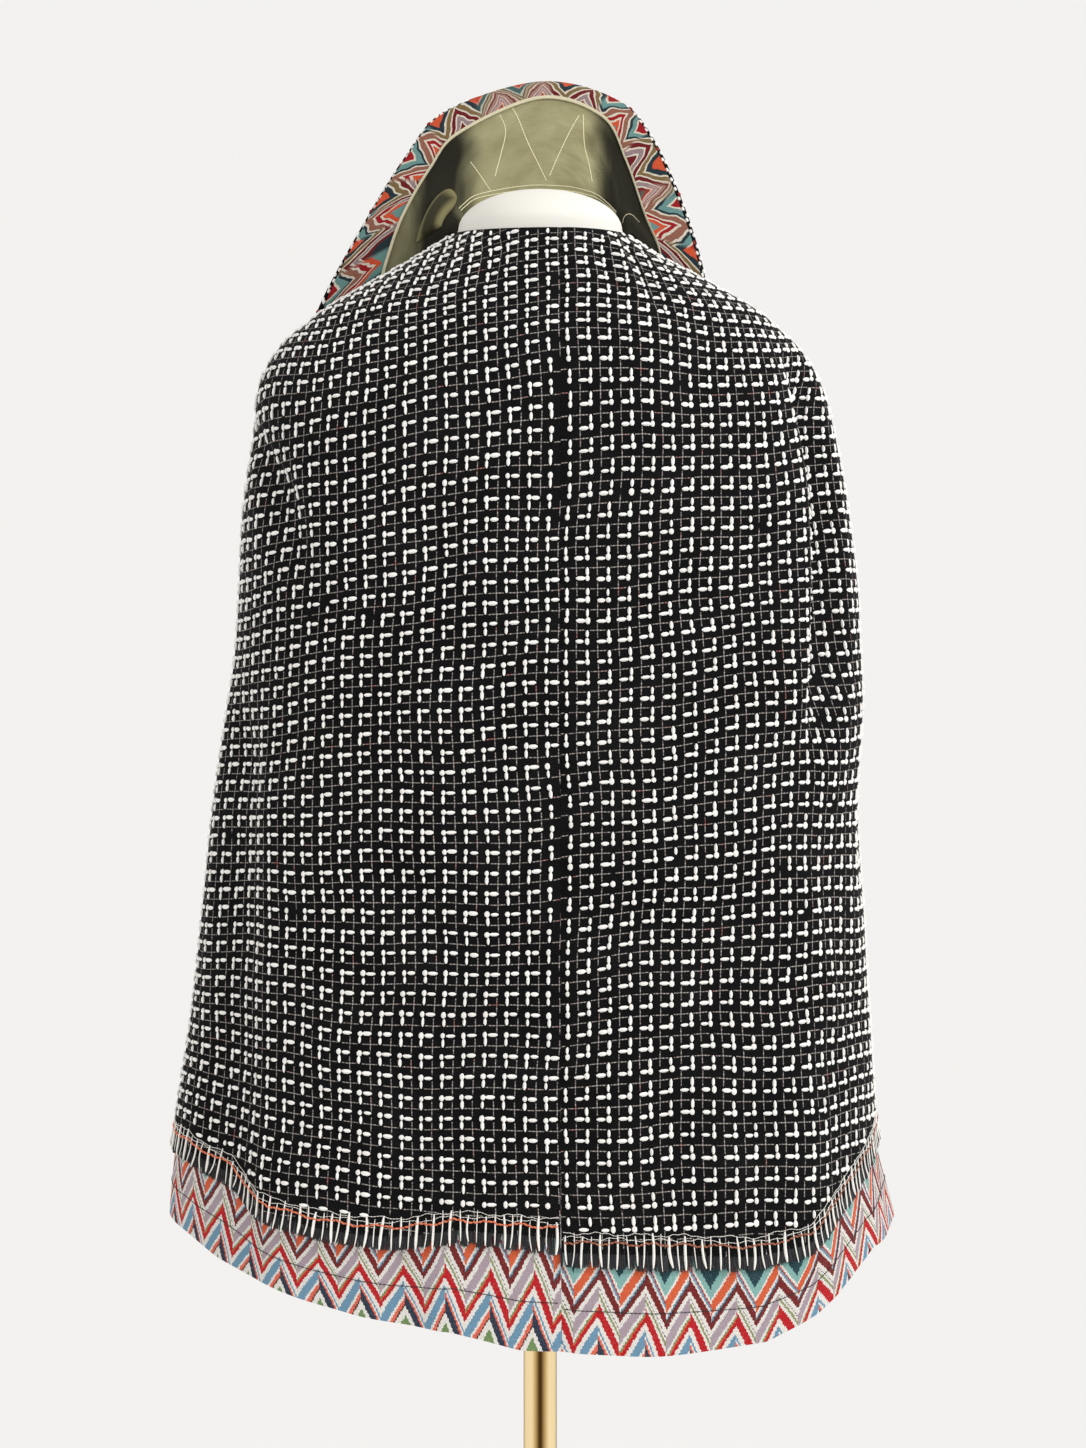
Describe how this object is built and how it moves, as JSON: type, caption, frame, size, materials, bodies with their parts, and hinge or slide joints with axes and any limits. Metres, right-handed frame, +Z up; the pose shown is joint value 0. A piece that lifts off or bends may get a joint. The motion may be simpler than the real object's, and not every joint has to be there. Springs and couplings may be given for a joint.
{
  "type": "cape on a dress form stand",
  "caption": "Tweed cape with a tall standing collar, frayed edge and longer patterned hem layer, on a limbless dress form and round-based pole stand.",
  "frame": {"origin": "on the floor, under the pole and at the centre of the part's outline", "axes": "+Z up; the cape's back faces -Y and its front +Y; +X is to the right seen from the back"},
  "size_m": [0.5177, 0.3728, 1.5557],
  "materials": {
    "tweed": "charcoal and black basket-weave tweed with white slub yarns",
    "chevron_jacquard": "zigzag flame-stitch jacquard in red, salmon, white, blue and olive",
    "olive_twill": "olive cotton twill with tonal topstitching",
    "cream_piping": "narrow cream folded edge",
    "form_white": "off-white smooth covered dress form",
    "brass": "polished warm brass"
  },
  "bodies": {
    "root": {"back_left": "tweed", "back_right": "tweed", "front": "tweed", "fringe_back_left": "tweed", "fringe_back_right": "tweed", "fringe_front": "tweed", "hem_back_left": "chevron_jacquard", "hem_back_right": "chevron_jacquard", "hem_front": "chevron_jacquard", "collar_shell": "tweed", "collar_facing": "chevron_jacquard", "collar_lining": "olive_twill", "collar_tab": "olive_twill", "collar_piping": "cream_piping", "form_torso": "form_white", "pole": "brass", "pole_flange": "brass", "base": "brass"}
  },
  "joints": []
}
